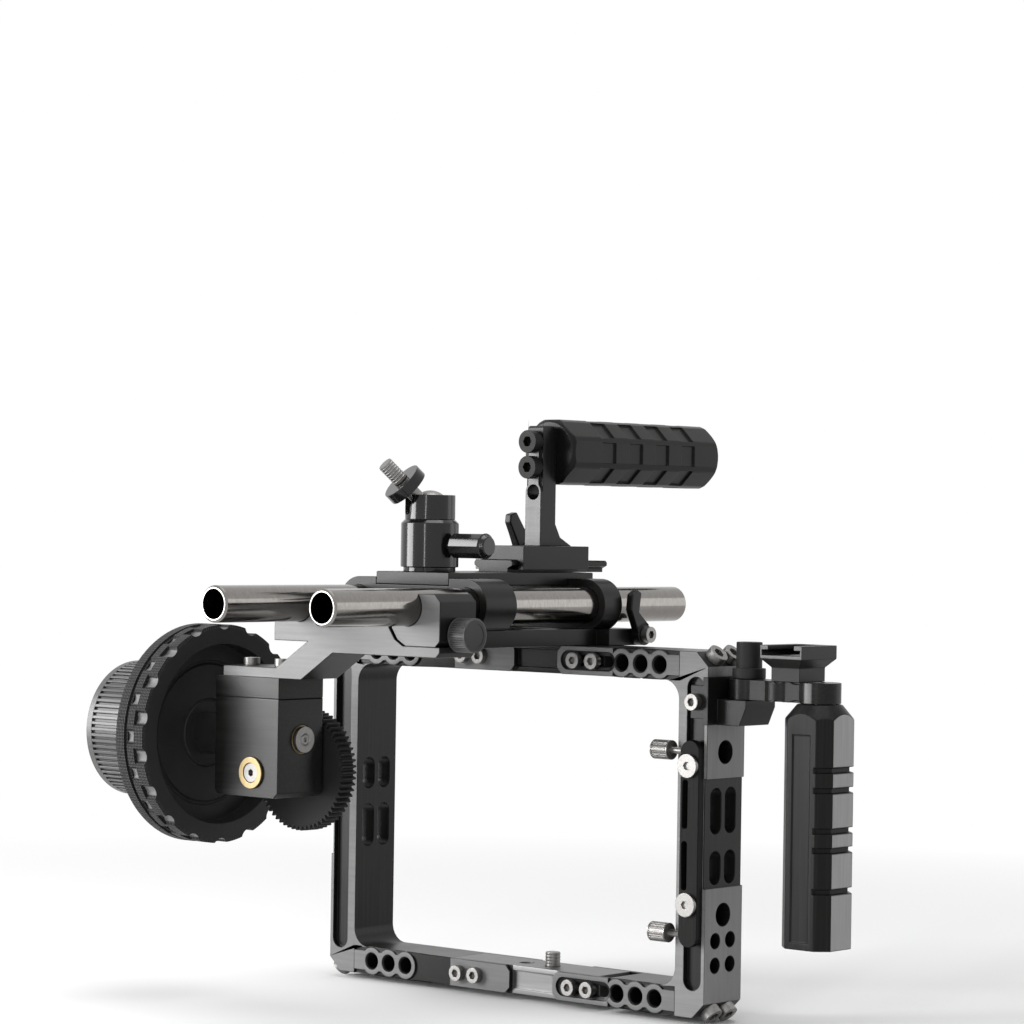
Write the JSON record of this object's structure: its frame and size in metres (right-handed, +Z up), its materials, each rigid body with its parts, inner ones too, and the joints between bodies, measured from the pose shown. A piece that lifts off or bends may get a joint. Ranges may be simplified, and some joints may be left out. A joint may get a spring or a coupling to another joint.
{
  "type": "camera cage",
  "caption": "Adjustable camera cage with rods on top, follow focus with handwheel and gear, ball head, top handle and a swinging side handle.",
  "frame": {"origin": "mouth of the tripod thread, in the middle of the underside of the lower beam", "axes": "+X along the width of the cage, towards the side handle; -Y towards the subject; +Z up"},
  "size_m": [0.3056, 0.2725, 0.2477],
  "materials": {
    "black_anodised": "black anodised, fine satin",
    "bare_aluminium": "bare, satin",
    "polished_rod": "polished",
    "nickel": "nickel plate",
    "brass": "turned",
    "gloss_black": "gloss",
    "matte_black": "matte"
  },
  "bodies": {
    "cage_and_rod_mount": {"bottom_left_bracket": "black_anodised", "bottom_rail": "bare_aluminium", "top_left_bracket": "black_anodised", "top_rail": "black_anodised", "rail_screws": "nickel", "top_rail_plug": "nickel", "left_column": "black_anodised", "left_corner_screws": "nickel", "rod_base_plate": "black_anodised", "base_plate_bolt": "nickel", "front_rod_block": "black_anodised", "rear_rod_block": "black_anodised", "rod_bridge": "black_anodised", "rod_mount_screws": "nickel", "handle_rail": "black_anodised", "ball_head_body": "gloss_black"},
    "right_frame": {"bottom_right_bracket": "black_anodised", "top_right_bracket": "black_anodised", "right_column": "black_anodised", "right_corner_screws": "nickel", "right_frame_screws": "nickel", "cable_clamp_bar": "black_anodised", "side_clamp_block": "black_anodised"},
    "lower_cable_thumbscrew_body": {"lower_cable_thumbscrew": "nickel"},
    "upper_cable_thumbscrew_body": {"upper_cable_thumbscrew": "nickel"},
    "camera_screw_body": {"camera_screw": "nickel"},
    "rod_pair": {"left_rod": "polished_rod", "right_rod": "polished_rod"},
    "focus_unit": {"focus_bracket": "black_anodised", "focus_clamp_jaw": "black_anodised", "gearbox_body": "black_anodised", "gearbox_cap": "black_anodised", "gearbox_screws": "nickel", "wheel_bushes": "brass", "drive_bushes": "brass"},
    "focus_handwheel": {"focus_wheel": "matte_black", "focus_knob": "matte_black", "wheel_shaft": "nickel", "wheel_screw_gear": "brass"},
    "focus_drive": {"drive_shaft": "nickel", "drive_gear": "matte_black", "drive_screw_gear": "brass"},
    "focus_thumbscrew_body": {"focus_thumbscrew": "black_anodised"},
    "rod_lever": {"rod_lock_lever": "black_anodised"},
    "ball_pan_cup": {"ball_cup": "brass", "ball_head_collar": "gloss_black"},
    "ball_and_stud": {"ball_stud": "nickel"},
    "thumb_ring": {"ball_thumb_ring": "gloss_black"},
    "ball_knob": {"ball_lock_knob": "gloss_black"},
    "top_handle": {"handle_clamp_body": "black_anodised", "handle_clamp_jaw": "black_anodised", "handle_riser": "black_anodised", "handle_grip": "black_anodised", "handle_bolts": "nickel"},
    "handle_lever": {"handle_clamp_lever": "black_anodised"},
    "side_arm_body": {"side_arm": "black_anodised", "side_arm_screws": "nickel", "cold_shoe": "black_anodised"},
    "side_knob": {"side_arm_knob": "black_anodised"},
    "side_grip_body": {"side_grip": "black_anodised"}
  },
  "joints": [
    {"name": "cage_width_slide", "type": "slide", "parent": "cage_and_rod_mount", "child": "right_frame", "axis": [1, 0, 0], "range_m": [-0.006, 0.0038]},
    {"name": "lower_cable_thumbscrew_turn", "type": "hinge", "parent": "right_frame", "child": "lower_cable_thumbscrew_body", "pos_m": [0.084, -0.0143, 0.034], "axis": [1, 0, 0], "range_deg": [0, 540]},
    {"name": "upper_cable_thumbscrew_turn", "type": "hinge", "parent": "right_frame", "child": "upper_cable_thumbscrew_body", "pos_m": [0.084, -0.0143, 0.1085], "axis": [1, 0, 0], "range_deg": [0, 540]},
    {"name": "camera_screw_turn", "type": "hinge", "parent": "cage_and_rod_mount", "child": "camera_screw_body", "pos_m": [0.0145, 0, 0.006], "axis": [0, 0, 1], "continuous": true},
    {"name": "rod_slide", "type": "slide", "parent": "cage_and_rod_mount", "child": "rod_pair", "axis": [0, 1, 0], "range_m": [-0.04, 0]},
    {"name": "focus_slide", "type": "slide", "parent": "rod_pair", "child": "focus_unit", "axis": [0, 1, 0], "range_m": [-0.045, 0.012]},
    {"name": "focus_wheel_spin", "type": "hinge", "parent": "focus_unit", "child": "focus_handwheel", "pos_m": [-0.09, -0.0973, 0.109], "axis": [1, 0, 0], "continuous": true},
    {"name": "drive_gear_spin", "type": "hinge", "parent": "focus_unit", "child": "focus_drive", "pos_m": [-0.0562, -0.08, 0.095], "axis": [0, 1, 0], "continuous": true},
    {"name": "focus_thumbscrew_turn", "type": "hinge", "parent": "focus_unit", "child": "focus_thumbscrew_body", "pos_m": [0.05, -0.1006, 0.1553], "axis": [1, 0, 0], "range_deg": [0, 540]},
    {"name": "rod_lever_swing", "type": "hinge", "parent": "cage_and_rod_mount", "child": "rod_lever", "pos_m": [0.043, 0.0203, 0.1537], "axis": [1, 0, 0], "range_deg": [-90, 0]},
    {"name": "ball_pan", "type": "hinge", "parent": "cage_and_rod_mount", "child": "ball_pan_cup", "pos_m": [0, -0.066, 0.2046], "axis": [0, 0, 1], "continuous": true},
    {"name": "ball_tilt", "type": "hinge", "parent": "ball_pan_cup", "child": "ball_and_stud", "pos_m": [0, -0.066, 0.2046], "axis": [0.8988, -0.4384, 0], "range_deg": [-62, 33]},
    {"name": "thumb_ring_turn", "type": "hinge", "parent": "ball_and_stud", "child": "thumb_ring", "pos_m": [-0.00545, -0.07717, 0.21619], "axis": [-0.3206, -0.6573, 0.682], "range_deg": [0, 540]},
    {"name": "ball_knob_turn", "type": "hinge", "parent": "cage_and_rod_mount", "child": "ball_knob", "pos_m": [0.024, -0.066, 0.1904], "axis": [1, 0, 0], "range_deg": [-180, 180]},
    {"name": "top_handle_slide", "type": "slide", "parent": "cage_and_rod_mount", "child": "top_handle", "axis": [0, 1, 0], "range_m": [-0.004, 0.014]},
    {"name": "handle_lever_swing", "type": "hinge", "parent": "top_handle", "child": "handle_lever", "pos_m": [-0.016, 0.014, 0.1874], "axis": [1, 0, 0], "range_deg": [-80, 20]},
    {"name": "side_arm_swing", "type": "hinge", "parent": "right_frame", "child": "side_arm_body", "pos_m": [0.1162, 0, 0.134], "axis": [0, 0, 1], "range_deg": [-60, 60]},
    {"name": "side_knob_turn", "type": "hinge", "parent": "right_frame", "child": "side_knob", "pos_m": [0.1162, 0, 0.145], "axis": [0, 0, 1], "range_deg": [-180, 180]},
    {"name": "side_grip_turn", "type": "hinge", "parent": "side_arm_body", "child": "side_grip_body", "pos_m": [0.1516, 0, 0.08], "axis": [0, 0, 1], "range_deg": [-180, 180]}
  ],
  "couplings": [
    {"joint": "drive_gear_spin", "follows": "focus_wheel_spin", "ratio": -1}
  ]
}
